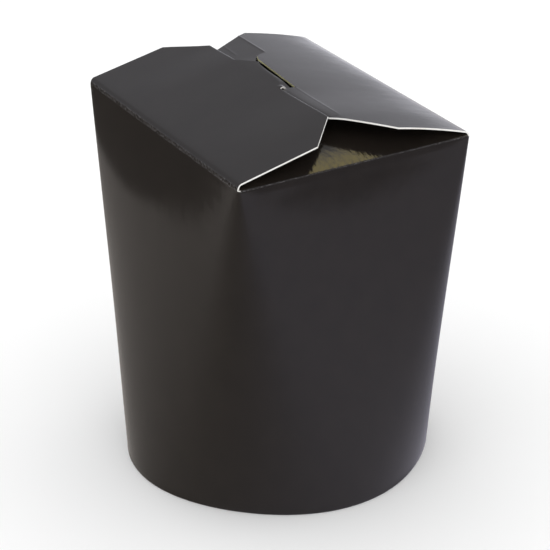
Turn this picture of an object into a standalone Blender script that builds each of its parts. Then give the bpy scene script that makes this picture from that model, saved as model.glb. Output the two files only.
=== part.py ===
"""Noodle takeaway box: a round based board carton, shut by two flaps that lock with a tab.

The box stands on +Z with the middle of its base at the origin. The tabbed flap is hinged
along the -X side and lies over the slotted flap, which is hinged along the +X side. Two
smaller flaps fold in from the -Y and +Y sides first and slope up under them.
"""
from math import cos, pi, radians, sin, sqrt, tan

import bmesh
import bpy
from mathutils import Vector

MM = 0.001

# Wall: a round base that turns into an oblong rim
BASE_RADIUS = 46.0 * MM
BASE_LOBE = 0.016             # how much the base swells at the middle of each side
RIM_HALF_X = 36.3 * MM
RIM_HALF_Y = 45.0 * MM
RIM_Z = 107.0 * MM
RIM_CORNER = 0.8 * MM
FOOT_ROUND = 0.5 * MM
COLUMNS_PER_QUARTER = 20
WALL_STEPS = 9

# Board and the folded flaps
BOARD = 0.45 * MM
HINGE_INSET = 0.1 * MM
FLAP_HALF_Y = 44.2 * MM
RIDGE_X = -2.1 * MM           # free edge of the tabbed flap
RIDGE_RISE = 8.93 * MM
FOLD_REACH = 1.2 * MM         # the board turns over each hinge within this width
TABBED_FOLD_RISE = 1.6 * MM
SLOTTED_FOLD_RISE = 0.9 * MM
TABBED_BOW = 0.0              # share of the rise that bows each flap upward
SLOTTED_BOW = 0.52
SMALL_FLAP_SLOPE = radians(20.0)
PACKED_TOP_Z = 113.5 * MM     # the closed inside reaches up to here

# Tabbed flap, seen from above
TABBED_SHOULDER_X = -12.0 * MM
TABBED_CORNER_Y = 32.9 * MM
TAB_FRONT_Y = -7.4 * MM
TAB_BACK_Y = 19.5 * MM
TAB_WAIST = (1.0 * MM, 14.6 * MM)
TAB_CREST_RISE = 0.45 * MM
TAB_CREST_REACH = 2.9 * MM    # from the crest of the tab to the slot
TAB_DIP = 2.3 * MM

# Slotted flap, seen from above
SLOTTED_FRONT_X = 13.1 * MM
SLOTTED_BACK_X = 14.6 * MM
SLOTTED_BACK_Y = 42.9 * MM    # this flap's back edge is cut a little short
FRONT_CHAMFER = 0.765         # slope of the cut corners
BACK_CHAMFER = 0.78
BACK_SCORE_X = 10.9 * MM
FRONT_SCORE_X = 1.9 * MM
SLOT_FRONT = (2.3 * MM, -7.0 * MM)
SLOT_BACK = (4.3 * MM, 18.2 * MM)
SLOT_HOOK = ((6.0 * MM, 20.8 * MM), (8.7 * MM, 22.6 * MM))
HOOK_END_Y = 23.8 * MM
SLOT_WIDTH = 0.9 * MM
STRIP_END_X = -3.6 * MM       # the strip dips and ends under the tabbed flap
STRIP_DIP = radians(25.0)
STRIP_FRONT_RISE = 0.12 * MM
STRIP_BACK_DROOP = radians(1.0)

# Base disc, set up inside the foot of the wall
RECESS_DEPTH = 3.8 * MM
RECESS_RADIUS = 44.0 * MM
DISC_GAP = 0.3 * MM
DISC_SIDES = 96

BLACK_BOARD = (0.022, 0.021, 0.022, 1.0)
BLACK_BASE = (0.018, 0.018, 0.019, 1.0)


def clear_scene():
    for obj in list(bpy.data.objects):
        bpy.data.objects.remove(obj, do_unlink=True)


def make_collection(name):
    collection = bpy.data.collections.new(name)
    bpy.context.scene.collection.children.link(collection)
    return collection


def make_material(name, colour, roughness):
    material = bpy.data.materials.new(name)
    material.use_nodes = True
    shader = material.node_tree.nodes["Principled BSDF"]
    shader.inputs["Base Color"].default_value = colour
    shader.inputs["Roughness"].default_value = roughness
    shader.inputs["Metallic"].default_value = 0.0
    material.diffuse_color = colour
    return material


def object_from(bm, name, collection):
    mesh = bpy.data.meshes.new(name)
    bm.to_mesh(mesh)
    bm.free()
    obj = bpy.data.objects.new(name, mesh)
    collection.objects.link(obj)
    return obj


def apply_modifiers(obj):
    bpy.ops.object.select_all(action='DESELECT')
    obj.select_set(True)
    bpy.context.view_layer.objects.active = obj
    for name in [modifier.name for modifier in obj.modifiers]:
        bpy.ops.object.modifier_apply(modifier=name)


def add_boolean(obj, other, operation):
    modifier = obj.modifiers.new(operation.title(), 'BOOLEAN')
    modifier.operation = operation
    modifier.object = other
    modifier.solver = 'EXACT'


# Wall and packed inside

def wall_columns():
    """Straight lines up the wall: the direction each one faces and its rim corner."""
    columns = []
    for quarter in range(4):
        middle = (quarter + 0.5) * pi / 2
        corner = (1.0 if cos(middle) > 0 else -1.0, 1.0 if sin(middle) > 0 else -1.0)
        for step in range(COLUMNS_PER_QUARTER + 1):
            columns.append(((quarter + step / COLUMNS_PER_QUARTER) * pi / 2, corner))
    return columns


def wall_point(column, height, inset=0.0):
    facing, (side_x, side_y) = column
    share = height / RIM_Z
    radius = BASE_RADIUS * (1.0 + BASE_LOBE * cos(4 * facing)) - inset
    rim_x = side_x * (RIM_HALF_X - RIM_CORNER) + RIM_CORNER * cos(facing)
    rim_y = side_y * (RIM_HALF_Y - RIM_CORNER) + RIM_CORNER * sin(facing)
    x = (1.0 - share) * radius * cos(facing) + share * rim_x
    y = (1.0 - share) * radius * sin(facing) + share * rim_y
    return Vector((x, y, height))


def cut_above(bm, point, normal):
    """Slice off what lies above a plane and close the cut."""
    geometry = bm.verts[:] + bm.edges[:] + bm.faces[:]
    bmesh.ops.bisect_plane(bm, geom=geometry, dist=1e-7, plane_co=point, plane_no=normal,
                           clear_outer=True)
    open_edges = [edge for edge in bm.edges if edge.is_boundary]
    bmesh.ops.holes_fill(bm, edges=open_edges, sides=0)


def roof_height(x, hinge_x, fold_rise, bow):
    """Height of a large flap's upper face: round over its hinge, then up to the ridge."""
    share = (x - hinge_x) / (RIDGE_X - hinge_x)
    turn = max(1.0 - abs(x - hinge_x) / FOLD_REACH, 0.0)
    fold = fold_rise * sqrt(1.0 - min(turn, 1.0) ** 2)
    return RIM_Z + fold + (RIDGE_RISE - fold_rise) * ((1.0 + bow) * share - bow * share * share)


def tabbed_height(x):
    return roof_height(x, -RIM_HALF_X, TABBED_FOLD_RISE, TABBED_BOW)


def slotted_height(x):
    return roof_height(x, RIM_HALF_X, SLOTTED_FOLD_RISE, SLOTTED_BOW)


def fold_places(hinge_x):
    """Lines along which the board is bent over a hinge, from the hinge inwards."""
    inward = 1.0 if hinge_x < 0 else -1.0
    return [hinge_x + inward * FOLD_REACH * share for share in (0.25, 1.0)]


def cut_under_roof(bm, height, places):
    """Trim the packed inside to the middle of a flap's board, one chord at a time."""
    for x0, x1 in zip(places, places[1:]):
        z0 = height(x0) - BOARD / 2
        z1 = height(x1) - BOARD / 2
        along = Vector((x1 - x0, 0.0, z1 - z0)).normalized()
        normal = Vector((-along.z, 0.0, along.x))
        if normal.z < 0:
            normal.negate()
        cut_above(bm, Vector((x0, 0.0, z0)), normal)


def make_filled_wall(collection):
    bm = bmesh.new()
    columns = wall_columns()
    heights = [FOOT_ROUND + (RIM_Z - FOOT_ROUND) * step / WALL_STEPS for step in range(WALL_STEPS + 1)]
    rings = [[wall_point(c, 0.0, FOOT_ROUND) for c in columns]]
    rings.append([wall_point(c, 0.3 * FOOT_ROUND, 0.3 * FOOT_ROUND) for c in columns])
    rings += [[wall_point(c, height) for c in columns] for height in heights]
    above_roof = Vector((0.0, 0.0, 2 * RIDGE_RISE))
    rings.append([point + above_roof for point in rings[-1]])
    vertices = [[bm.verts.new(point) for point in ring] for ring in rings]
    count = len(columns)
    for lower, upper in zip(vertices, vertices[1:]):
        for i in range(count):
            j = (i + 1) % count
            bm.faces.new((lower[i], lower[j], upper[j], upper[i]))
    bm.faces.new(list(reversed(vertices[0])))
    bm.faces.new(vertices[-1])
    bmesh.ops.remove_doubles(bm, verts=bm.verts[:], dist=1e-6)
    for side in (-1.0, 1.0):
        fold = Vector((0.0, side * RIM_HALF_Y, RIM_Z))
        cut_above(bm, fold, Vector((0.0, side * sin(SMALL_FLAP_SLOPE), cos(SMALL_FLAP_SLOPE))))
    cut_above(bm, Vector((0.0, 0.0, PACKED_TOP_Z)), Vector((0.0, 0.0, 1.0)))
    tabbed_fold = fold_places(-RIM_HALF_X)
    cut_under_roof(bm, tabbed_height, [-RIM_HALF_X] + tabbed_fold + [TABBED_SHOULDER_X])
    slotted_fold = fold_places(RIM_HALF_X)
    slotted_run = even_places(slotted_fold[-1], SLOTTED_FRONT_X, 4)
    cut_under_roof(bm, slotted_height, [RIM_HALF_X] + slotted_fold + slotted_run)
    return object_from(bm, "filled_wall", collection)


# Large flaps

def slot_x(y):
    """The slotted flap's cut edge along the slot."""
    share = (y - SLOT_FRONT[1]) / (SLOT_BACK[1] - SLOT_FRONT[1])
    return SLOT_FRONT[0] + (SLOT_BACK[0] - SLOT_FRONT[0]) * share


def slice_sheet(bm, axis, places):
    """Add straight lines across a flat sheet so that it can be bent there."""
    normal = Vector((1.0, 0.0, 0.0)) if axis == 0 else Vector((0.0, 1.0, 0.0))
    for place in places:
        geometry = bm.verts[:] + bm.edges[:] + bm.faces[:]
        bmesh.ops.bisect_plane(bm, geom=geometry, dist=1e-7, plane_co=normal * place,
                               plane_no=normal)


def even_places(start, end, steps):
    return [start + (end - start) * step / steps for step in range(1, steps)]


def thicken(obj):
    modifier = obj.modifiers.new("Board", 'SOLIDIFY')
    modifier.thickness = BOARD
    modifier.offset = -1.0
    modifier.use_even_offset = True
    apply_modifiers(obj)


def tab_height(x, y):
    """The tab runs on past the ridge, crests, and turns down into the slot."""
    crest_x = slot_x(y) - TAB_CREST_REACH
    crest_z = RIM_Z + RIDGE_RISE + TAB_CREST_RISE
    if x <= crest_x:
        share = (x - RIDGE_X) / max(crest_x - RIDGE_X, 1e-6)
        return RIM_Z + RIDGE_RISE + TAB_CREST_RISE * max(share, 0.0)
    share = (x - crest_x) / TAB_CREST_REACH
    return crest_z - TAB_DIP * share ** 2.2


def make_tabbed_flap(collection):
    tip_gap = 0.35 * MM
    outline = [
        (-RIM_HALF_X + HINGE_INSET, FLAP_HALF_Y),
        (-RIM_HALF_X + HINGE_INSET, -FLAP_HALF_Y),
        (TABBED_SHOULDER_X, -FLAP_HALF_Y),
        (RIDGE_X, -TABBED_CORNER_Y),
        (RIDGE_X, TAB_FRONT_Y),
        (slot_x(TAB_FRONT_Y) - 2 * tip_gap, TAB_FRONT_Y + 2 * tip_gap),
        (slot_x(TAB_WAIST[1]) - tip_gap, TAB_WAIST[1] + 1.6 * MM),
        TAB_WAIST,
        (RIDGE_X, TAB_BACK_Y),
        (RIDGE_X, TABBED_CORNER_Y),
        (TABBED_SHOULDER_X, FLAP_HALF_Y),
    ]
    bm = bmesh.new()
    bm.faces.new([bm.verts.new((x, y, 0.0)) for x, y in outline])
    slice_sheet(bm, 0, fold_places(-RIM_HALF_X) + even_places(-RIM_HALF_X, RIDGE_X, 5) + [RIDGE_X])
    slice_sheet(bm, 0, even_places(RIDGE_X, slot_x(TAB_WAIST[1]), 9))
    slice_sheet(bm, 1, even_places(-TABBED_CORNER_Y, TABBED_CORNER_Y, 8))
    bmesh.ops.triangulate(bm, faces=bm.faces[:])
    for vertex in bm.verts:
        x, y, _ = vertex.co
        vertex.co.z = tabbed_height(x) if x <= RIDGE_X + 1e-7 else tab_height(x, y)
    flap = object_from(bm, "tabbed_flap", collection)
    thicken(flap)
    return flap


def strip_height(x, y):
    """The strip past the scores: level at the front, nearly level and lower at the back."""
    level = slotted_height(FRONT_SCORE_X) + STRIP_FRONT_RISE
    front = min(level, slotted_height(x)) - max(RIDGE_X - x, 0.0) * tan(STRIP_DIP)
    back = slotted_height(BACK_SCORE_X) - (BACK_SCORE_X - x) * tan(STRIP_BACK_DROOP)
    share = (y - SLOT_FRONT[1]) / (HOOK_END_Y - SLOT_FRONT[1])
    share = min(max(share, 0.0), 1.0)
    blend = share * share * (3.0 - 2.0 * share)
    return front * (1.0 - blend) + back * blend


def front_chamfer_y(x):
    return -FLAP_HALF_Y + (SLOTTED_FRONT_X - x) * FRONT_CHAMFER


def back_chamfer_y(x):
    return SLOTTED_BACK_Y - (SLOTTED_BACK_X - x) * BACK_CHAMFER


def make_slotted_flap(collection):
    bm = bmesh.new()
    back_score = [bm.verts.new((BACK_SCORE_X, back_chamfer_y(BACK_SCORE_X), 0.0)),
                  bm.verts.new((BACK_SCORE_X, HOOK_END_Y, 0.0))]
    front_score = [bm.verts.new((SLOT_FRONT[0], SLOT_FRONT[1] - SLOT_WIDTH, 0.0)),
                   bm.verts.new((FRONT_SCORE_X, front_chamfer_y(FRONT_SCORE_X), 0.0))]
    cut = list(reversed(SLOT_HOOK)) + [SLOT_BACK, SLOT_FRONT]
    panel_cut = [bm.verts.new((x, y, 0.0)) for x, y in cut]
    strip_cut = [bm.verts.new((x - SLOT_WIDTH, y - 0.3 * SLOT_WIDTH, 0.0)) for x, y in cut]
    panel = [(SLOTTED_FRONT_X, -FLAP_HALF_Y), (RIM_HALF_X - HINGE_INSET, -FLAP_HALF_Y),
             (RIM_HALF_X - HINGE_INSET, SLOTTED_BACK_Y), (SLOTTED_BACK_X, SLOTTED_BACK_Y)]
    strip = [(STRIP_END_X, front_chamfer_y(STRIP_END_X)), (STRIP_END_X, back_chamfer_y(STRIP_END_X))]
    panel_rim = [bm.verts.new((x, y, 0.0)) for x, y in panel]
    strip_rim = [bm.verts.new((x, y, 0.0)) for x, y in strip]
    bm.faces.new(back_score + panel_cut + front_score + panel_rim)
    strip_face = bm.faces.new([back_score[1], back_score[0]] + list(reversed(strip_rim))
                              + list(reversed(front_score)) + list(reversed(strip_cut)))
    strip_face.material_index = 1
    bmesh.ops.recalc_face_normals(bm, faces=bm.faces[:])
    slice_sheet(bm, 0, fold_places(RIM_HALF_X) + even_places(FRONT_SCORE_X, RIM_HALF_X, 9) + [RIDGE_X])
    slice_sheet(bm, 1, even_places(-TABBED_CORNER_Y, TABBED_CORNER_Y, 10))
    bmesh.ops.triangulate(bm, faces=bm.faces[:])
    for vertex in bm.verts:
        x, y, _ = vertex.co
        on_panel = any(face.material_index == 0 for face in vertex.link_faces)
        vertex.co.z = slotted_height(x) if on_panel else strip_height(x, y)
    for face in bm.faces:
        face.material_index = 0
        if face.normal.z < 0:
            face.normal_flip()
    flap = object_from(bm, "slotted_flap", collection)
    thicken(flap)
    return flap


# Whole box

def make_recess_cutter(collection):
    depth = RECESS_DEPTH + BOARD + DISC_GAP
    bpy.ops.mesh.primitive_cylinder_add(vertices=DISC_SIDES, radius=RECESS_RADIUS, depth=2 * depth,
                                        location=(0.0, 0.0, 0.0))
    cutter = bpy.context.active_object
    cutter.name = "recess_cutter"
    for owner in list(cutter.users_collection):
        owner.objects.unlink(cutter)
    collection.objects.link(cutter)
    cutter.hide_render = True
    cutter.display_type = 'WIRE'
    return cutter


def make_carton(parts, cutters, material):
    carton = make_filled_wall(parts)
    carton.name = "carton"
    for flap in (make_tabbed_flap(parts), make_slotted_flap(parts)):
        add_boolean(carton, flap, 'UNION')
        apply_modifiers(carton)
        bpy.data.objects.remove(flap, do_unlink=True)
    add_boolean(carton, make_recess_cutter(cutters), 'DIFFERENCE')
    apply_modifiers(carton)
    carton.data.materials.clear()
    carton.data.materials.append(material)
    carton.data.shade_smooth()
    carton.data.set_sharp_from_angle(angle=radians(24.0))
    return carton


def make_base_disc(parts, material):
    bpy.ops.mesh.primitive_cylinder_add(vertices=DISC_SIDES, radius=RECESS_RADIUS - DISC_GAP,
                                        depth=BOARD, location=(0.0, 0.0, RECESS_DEPTH + BOARD / 2))
    disc = bpy.context.active_object
    disc.name = "base_disc"
    for owner in list(disc.users_collection):
        owner.objects.unlink(disc)
    parts.objects.link(disc)
    disc.data.materials.append(material)
    disc.data.shade_smooth()
    disc.data.set_sharp_from_angle(angle=radians(30.0))
    return disc


def main():
    clear_scene()
    parts = make_collection("noodle_box")
    cutters = make_collection("noodle_box_cutters")
    board = make_material("black_gloss_board", BLACK_BOARD, 0.3)
    base = make_material("black_base_board", BLACK_BASE, 0.45)
    make_carton(parts, cutters, board)
    make_base_disc(parts, base)


main()
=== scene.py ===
"""Black noodle takeaway box, folded from one blank of coated board.

The wall turns from a round foot into an oblong rim. Two small flaps are folded in at the front (-Y)
and the back, the slotted flap lies over them from the right (+X), and the tabbed flap lies on top
from the left, with its tab down in the slot.
"""
from bisect import bisect_right
from math import atan2, ceil, cos, exp, floor, hypot, pi, radians, sin, sqrt, tan

import bmesh
import bpy
from mathutils import Matrix, Vector


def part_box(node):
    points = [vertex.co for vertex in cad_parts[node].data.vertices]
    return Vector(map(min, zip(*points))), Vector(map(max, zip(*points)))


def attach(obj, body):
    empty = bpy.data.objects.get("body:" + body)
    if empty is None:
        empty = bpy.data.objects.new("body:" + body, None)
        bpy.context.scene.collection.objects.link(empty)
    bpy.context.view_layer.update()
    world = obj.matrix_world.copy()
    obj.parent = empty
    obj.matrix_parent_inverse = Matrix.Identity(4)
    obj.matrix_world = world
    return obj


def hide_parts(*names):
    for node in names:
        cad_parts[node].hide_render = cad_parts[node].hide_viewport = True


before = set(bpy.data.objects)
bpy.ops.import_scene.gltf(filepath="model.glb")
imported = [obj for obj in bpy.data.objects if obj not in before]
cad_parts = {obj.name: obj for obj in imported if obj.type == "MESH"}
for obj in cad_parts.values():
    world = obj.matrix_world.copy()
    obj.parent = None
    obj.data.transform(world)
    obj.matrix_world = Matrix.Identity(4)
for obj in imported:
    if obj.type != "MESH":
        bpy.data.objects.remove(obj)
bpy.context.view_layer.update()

MM = 0.001
TINY = 1e-6
FAR = 1.0

# Wall
BASE_RADIUS = 46.0 * MM
BASE_LOBE = 0.016
RIM_HALF_X = 36.3 * MM
RIM_HALF_Y = 45.0 * MM
RIM_Z = 107.0 * MM
RIM_CORNER = 0.8 * MM
CORNER_STEPS = 24
RIM_GRID = 2.0 * MM
RING_GRID = 2.4 * MM
SIDE_FAN = radians(24.0)
LONG_SIDE_BOW = 0.85
SHORT_SIDE_BOW = 0.5
LEAST_BOW = 0.01
SECTION_STEPS = 720

# Foot and base disc
FOOT_ROUND = 0.5 * MM
FOOT_STEPS = 5
DISC_LOW, DISC_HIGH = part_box("base_disc")
SKIRT_RADIUS = DISC_HIGH.x + 0.3 * MM
SKIRT_TOP = DISC_HIGH.z + 0.6 * MM
SKIRT_STEPS = 3
DISC_RADIUS = DISC_HIGH.x + 0.1 * MM
DISC_SIDES = 128
DISC_BAND = 4.0 * MM
DISC_STEP = 0.12 * MM
DISC_STEP_RUN = 0.5 * MM
DISC_RINGS = 5
DISC_EDGE_ROUND = 0.12 * MM

# Board and folds
BOARD = 0.45 * MM
SLOPED_BOARD = 1.05 * BOARD
FOLD_STEPS = 8
FOLD_REACH = 1.2 * MM
TABBED_FOLD_RISE = 1.6 * MM
SLOTTED_FOLD_RISE = 0.9 * MM
SMOOTH_ANGLE = radians(35.0)

# Small flaps
SMALL_FOLD_RADIUS = 0.5 * MM
SMALL_FLAP_SLOPE = radians(23.0)
SMALL_FLAP_EASING = radians(8.0)
SMALL_FLAP_EASING_RUN = 11.0 * MM
SMALL_FLAP_END_Y = 19.0 * MM
SMALL_FLAP_END_SLACK = 0.5 * MM
SMALL_FLAP_GRID = 1.0 * MM
TUCK_GAP = 0.12 * MM
TUCK_DROP_RUN = (16.0 * MM, 36.0 * MM)

# Large flaps
RIDGE_X = -2.1 * MM
RIDGE_RISE = 8.93 * MM
FLAP_HALF_Y = 44.2 * MM
TABBED_BOW = 0.0
SLOTTED_BOW = 0.52
SHEET_GRID = 2.0 * MM
FRONT_LIFT = 0.6 * MM
FRONT_LIFT_RUN = (10.0 * MM, 34.0 * MM)
BACK_DROP = 0.5 * MM
BACK_DROP_RUN = (18.0 * MM, 36.0 * MM)

# Tabbed flap, from above
TABBED_SHOULDER_X = -12.0 * MM
TABBED_CORNER_Y = 32.9 * MM
TABBED_BACK_CORNER_Y = 34.3 * MM
TABBED_BACK_REACH = 0.9 * MM
TABBED_BACK_REACH_Y = 36.0 * MM
FREE_EDGE_ROUND = (0.3 * MM, -0.1 * MM)

# Tab
TAB_FRONT_Y = -7.3 * MM
TAB_BACK_Y = 19.2 * MM
TAB_BACK_CORNER = (1.5 * MM, 13.0 * MM)
TAB_TIP_X = 1.6 * MM
TAB_SLOPE = 0.2
TAB_DIP_SLOPE_FRONT = 0.3
TAB_DIP_SLOPE = 0.2
TAB_CREST = ((-1.7 * MM, -7.3 * MM), (-1.0 * MM, -5.9 * MM), (0.1 * MM, -3.6 * MM), (0.7 * MM, -0.9 * MM),
             (0.95 * MM, 2.7 * MM), (1.15 * MM, 8.0 * MM), (1.6 * MM, 12.9 * MM), (2.0 * MM, 19.2 * MM))
TAB_CREST_ROUND = 0.25 * MM
TAB_CURL = 0.5 * MM
TAB_CURL_X = -1.1 * MM
TAB_CURL_REACH = 0.8 * MM
TAB_CURL_START = 5.0 * MM
TAB_HOLLOW = 0.6 * MM
TAB_BACK_SWELL = 0.5
TAB_TURN = ((0.05 * MM, 0.07 * MM), (0.03 * MM, 0.9 * MM))
TAB_GRID = 0.35 * MM
TAB_SLICE = 1.0 * MM

# Slotted flap, from above
SLOTTED_FRONT_X = 13.1 * MM
SLOTTED_BACK_X = 14.6 * MM
SLOTTED_BACK_Y = 42.9 * MM
FRONT_CHAMFER = 0.765
BACK_CHAMFER = 0.78

# Slot
BACK_SCORE_X = 10.9 * MM
SLOT_FRONT = (2.9 * MM, -7.0 * MM)
SLOT_BACK = (5.2 * MM, 18.0 * MM)
SLOT_HOOK = ((6.4 * MM, 20.8 * MM), (8.7 * MM, 22.6 * MM))
HOOK_END = (BACK_SCORE_X, 23.8 * MM)
SLOT_PATH = (HOOK_END, SLOT_HOOK[1], SLOT_HOOK[0], SLOT_BACK, SLOT_FRONT)
SLOT_WIDTH = 3.0 * MM
SLOT_END_WIDTH = 0.7 * MM
SLOT_NARROWING_Y = 10.0 * MM
SLOT_END_SHIFT = 0.3
SLOT_LINE_SLACK = 0.01 * MM
SLOT_EDGE_SLACK = 0.05 * MM

# Scores
FRONT_SCORE_X = 1.9 * MM
FRONT_SCORE_Y = -32.2 * MM
BACK_SCORE = (HOOK_END, (BACK_SCORE_X, SLOTTED_BACK_Y))
FRONT_SCORE = ((FRONT_SCORE_X, FRONT_SCORE_Y), SLOT_FRONT)
SHORT_SCORE = ((2.5 * MM, 26.0 * MM), (3.0 * MM, 35.0 * MM))
SCORES = (BACK_SCORE, FRONT_SCORE, SHORT_SCORE)
SCORE_RISE = 0.065 * MM
SCORE_WIDTH = 0.34 * MM
SCORE_CUTS = (0.0, -0.6, 0.6, -1.3, 1.3, -2.4, 2.4)

# Strip of the slotted flap past its scores and its slot
STRIP_END_X = -3.6 * MM
STRIP_DIP = radians(25.0)
STRIP_FRONT_RISE = 0.12 * MM
STRIP_BACK_DROOP = radians(1.0)
STRIP_GAP = 0.3 * MM
STRIP_CHAMFER = 0.61

# Noise of the board's finish, per metre across the grain and along it
STREAK_NOISE = (2400.0, 260.0)
BROAD_STREAK_NOISE = (620.0, 45.0)
MOTTLE_NOISE = (170.0, 120.0)
WAVE_NOISE = (55.0, 38.0)
FIBRE_NOISE = (3600.0, 1400.0)
WRINKLE_NOISE = (950.0, 330.0)
CRACK_NOISE = (2600.0, 3400.0)

# Noise values that a mask or a roughness runs between
NOISE_SPREAD = (0.3, 0.7)
CRACK_SPREAD = (0.5, 0.62)
FIBRE_SPREAD = (0.45, 0.75)
WORN_SPREAD = (0.45, 0.75)
SCUFF_SPREAD = (0.5, 0.7)

# Relief of the board's finish, in millimetres
STREAK_RELIEF = 0.003
BROAD_STREAK_RELIEF = 0.008
FIBRE_RELIEF = 0.0012
WAVE_RELIEF = 0.07
WRINKLE_RELIEF = 0.13
MOTTLE_RELIEF = 0.028

# Gloss of the board's finish
COATING_IOR = 1.5
COATING_ROUGHNESS = (0.07, 0.12)
CRACK_ROUGHNESS = 0.45
MOTTLE_ROUGHNESS = 0.03
STRAIN_ROUGHNESS = 0.04
INSIDE_ROUGHNESS = (0.55, 0.7)
EDGE_ROUGHNESS = (0.75, 0.9)
BASE_ROUGHNESS = (0.22, 0.32)
SCUFF_ROUGHNESS = 0.25

# Creased and strained board
CREASE_REACH = 1.3 * MM
CRACKED_CREASE = (0.74, 0.95)
SCORE_CREASE = 0.8
SCORE_CREASE_REACH = 1.0 * MM
SMALL_FLAP_STRAIN_REACH = 12.0 * MM
FOLD_STRAIN = 0.1
FOLD_STRAIN_REACH = 3.0 * MM

# Where the flaps lie on the board's own map
SMALL_FLAP_MAP_X = 0.3
LARGE_FLAP_MAP_X = 0.6

# Colours
INK = (0.0085, 0.0068, 0.0055)
PALE_INK = (0.0150, 0.0118, 0.0096)
BARE_FIBRE = (0.085, 0.080, 0.082)
INSIDE_BOARD = (0.060, 0.050, 0.041)
INSIDE_FIBRE = (0.120, 0.102, 0.086)
WHITE_EDGE = (0.83, 0.82, 0.80)
DULL_WHITE_EDGE = (0.62, 0.58, 0.52)
YELLOWED_EDGE = (0.44, 0.42, 0.22)
DULL_YELLOWED_EDGE = (0.28, 0.25, 0.13)
WORN_EDGE_SHARE = 0.6
CRACKED_EDGE_SHARE = 0.25
BASE_INK = (0.0100, 0.0085, 0.0070)
SCUFFED_INK = (0.024, 0.021, 0.018)

# The folded board's materials, in the order of their slots
COATING, INSIDE, CUT_EDGE, SLOT_EDGE = range(4)


# Editing by hand

def open_piece(obj):
    bpy.ops.object.select_all(action='DESELECT')
    obj.select_set(True)
    bpy.context.view_layer.objects.active = obj
    bpy.ops.object.mode_set(mode='EDIT')


def close_piece():
    bpy.ops.mesh.reveal()
    bpy.ops.object.mode_set(mode='OBJECT')


def edited():
    return bmesh.from_edit_mesh(bpy.context.edit_object.data)


def middle(element):
    if isinstance(element, bmesh.types.BMVert):
        return element.co
    if isinstance(element, bmesh.types.BMFace):
        return element.calc_center_median()
    return (element.verts[0].co + element.verts[1].co) / 2


def pick(kind, test):
    """Select what isn't hidden and has its middle at a place that passes the test."""
    bpy.ops.mesh.select_mode(type=kind)
    bpy.ops.mesh.select_all(action='DESELECT')
    bm = edited()
    for element in {'VERT': bm.verts, 'EDGE': bm.edges, 'FACE': bm.faces}[kind]:
        if not element.hide and test(middle(element)):
            element.select_set(True)
    bmesh.update_edit_mesh(bpy.context.edit_object.data)


def extrude(move):
    bpy.ops.mesh.extrude_region_move(TRANSFORM_OT_translate={"value": move})


def cut(point, normal, away=False):
    """Slice the selected faces with a plane, and drop what is beyond it if away."""
    bpy.ops.mesh.bisect(plane_co=point, plane_no=normal, clear_outer=away, threshold=1e-7)


def near(a, b):
    return abs(a - b) < 5 * TINY


def over_rim(place):
    return place.z > RIM_Z + TINY


def set_aside():
    """Hide a finished flap, so that the next one can be picked by its place."""
    pick('FACE', over_rim)
    bpy.ops.mesh.hide(unselected=False)


def apply_modifiers(obj):
    bpy.ops.object.select_all(action='DESELECT')
    obj.select_set(True)
    bpy.context.view_layer.objects.active = obj
    for name in [modifier.name for modifier in obj.modifiers]:
        bpy.ops.object.modifier_apply(modifier=name)


# Lines and easing

def eased(value, start, end):
    share = min(max((value - start) / (end - start), 0.0), 1.0)
    return share * share * (3.0 - 2.0 * share)


def along_line(y, low, high):
    """x at y on the line through two (x, y) points."""
    return low[0] + (high[0] - low[0]) * (y - low[1]) / (high[1] - low[1])


# Roof shape

def roof_height(x, hinge_x, fold_rise, bow):
    """Height of a large flap's outer face: round over its hinge, then up to the ridge."""
    share = (x - hinge_x) / (RIDGE_X - hinge_x)
    turn = min(max(1.0 - abs(x - hinge_x) / FOLD_REACH, 0.0), 1.0)
    fold = fold_rise * sqrt(1.0 - turn ** 2)
    return RIM_Z + fold + (RIDGE_RISE - fold_rise) * ((1.0 + bow) * share - bow * share * share)


def tabbed_height(x):
    return roof_height(x, -RIM_HALF_X, TABBED_FOLD_RISE, TABBED_BOW)


def slotted_height(x):
    return roof_height(x, RIM_HALF_X, SLOTTED_FOLD_RISE, SLOTTED_BOW)


def tab_crest_x(y):
    for low, high in zip(TAB_CREST, TAB_CREST[1:]):
        if y <= high[1]:
            return along_line(y, low, high)
    return TAB_CREST[-1][0]


def tab_height(x, y):
    """The tab rises on past the ridge to an S-shaped crest, then dips towards the slot."""
    past = x - tab_crest_x(y)
    dip = (past + sqrt(past ** 2 + TAB_CREST_ROUND ** 2)) / 2
    slope = TAB_DIP_SLOPE_FRONT + (TAB_DIP_SLOPE - TAB_DIP_SLOPE_FRONT) * eased(y, TAB_FRONT_Y, 0.0)
    curl = TAB_CURL * exp(-((x - TAB_CURL_X) / TAB_CURL_REACH) ** 2)
    curl *= eased(-y, TAB_CURL_START, -TAB_FRONT_Y)
    return RIM_Z + RIDGE_RISE + TAB_SLOPE * (x - RIDGE_X) - (TAB_SLOPE + slope) * dip + curl


def strip_height(x, y):
    """The strip past the scores: level at the front, nearly level and lower at the back."""
    level = slotted_height(FRONT_SCORE_X) + STRIP_FRONT_RISE
    front = min(level, slotted_height(x)) - max(RIDGE_X - x, 0.0) * tan(STRIP_DIP)
    back = slotted_height(BACK_SCORE_X) - (BACK_SCORE_X - x) * tan(STRIP_BACK_DROOP)
    blend = eased(y, SLOT_FRONT[1], HOOK_END[1])
    height = front * (1.0 - blend) + back * blend
    if TAB_FRONT_Y + TINY < y < TAB_BACK_CORNER[1] and x > RIDGE_X:
        return min(height, tab_height(min(x, TAB_TIP_X), y) - BOARD - STRIP_GAP)
    return height


def score_rise(x, y, low, high):
    """Height of the bead that a pressed score leaves, beside the line from low to high."""
    if not low[1] <= y <= high[1]:
        return 0.0
    return SCORE_RISE * exp(-((x - along_line(y, low, high)) / SCORE_WIDTH) ** 2)


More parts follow.
